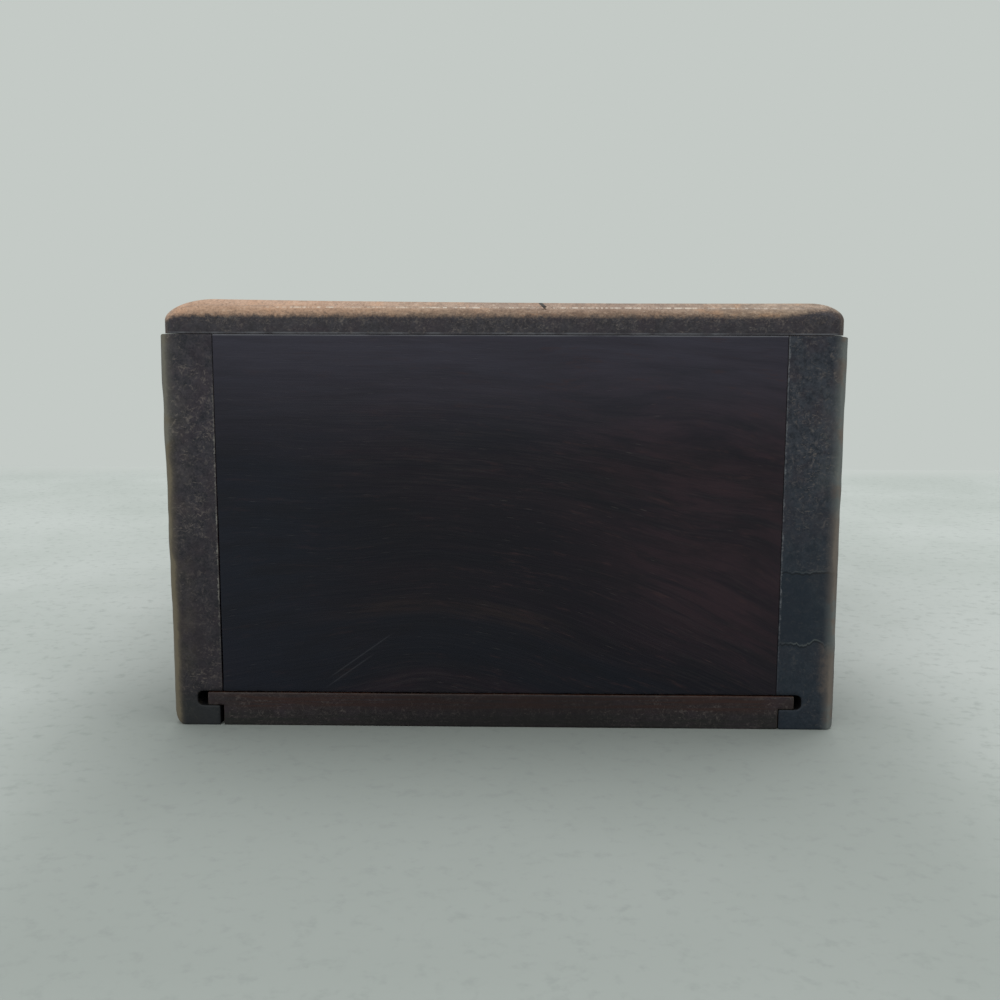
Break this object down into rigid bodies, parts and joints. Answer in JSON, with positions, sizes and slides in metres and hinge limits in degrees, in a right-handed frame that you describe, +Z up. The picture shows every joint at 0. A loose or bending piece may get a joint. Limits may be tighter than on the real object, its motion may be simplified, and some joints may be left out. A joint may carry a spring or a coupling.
{
  "type": "trinket box",
  "caption": "Dark wooden trinket box with a hinged lid, butt-jointed sides and a tongued bottom board that slides out endwise.",
  "frame": {"origin": "centre of the base, in the plane the box stands on", "axes": "+Z up, +Y along the box from the near end, where the bottom slides out, to the far end, +X towards the hinged back"},
  "size_m": [0.1223, 0.18, 0.077],
  "materials": {
    "side_wood": "oiled",
    "end_wood": "oiled",
    "bottom_wood": "oiled",
    "lid_wood": "oiled",
    "peg_wood": "oiled",
    "hinge_brass": "aged",
    "pin_brass": "aged",
    "screw_brass": "aged"
  },
  "bodies": {
    "box": {"front_board": "side_wood", "back_board": "side_wood", "near_end_board": "end_wood", "far_end_board": "end_wood", "near_front_pegs": "peg_wood", "near_back_pegs": "peg_wood", "far_front_pegs": "peg_wood", "far_back_pegs": "peg_wood", "near_hinge_box_leaf": "hinge_brass", "near_hinge_pin": "pin_brass", "far_hinge_box_leaf": "hinge_brass", "far_hinge_pin": "pin_brass", "box_leaf_screws": "screw_brass"},
    "lid": {"lid": "lid_wood", "near_hinge_lid_leaf": "hinge_brass", "far_hinge_lid_leaf": "hinge_brass", "lid_leaf_screws": "screw_brass"},
    "bottom": {"sliding_bottom": "bottom_wood"}
  },
  "joints": [
    {"name": "lid_hinge", "type": "hinge", "parent": "box", "child": "lid", "pos_m": [0.0605, 0, 0.07083], "axis": [0, 1, 0], "range_deg": [0, 95]},
    {"name": "bottom_slide", "type": "slide", "parent": "box", "child": "bottom", "axis": [0, -1, 0], "range_m": [0, 0.17365]}
  ]
}
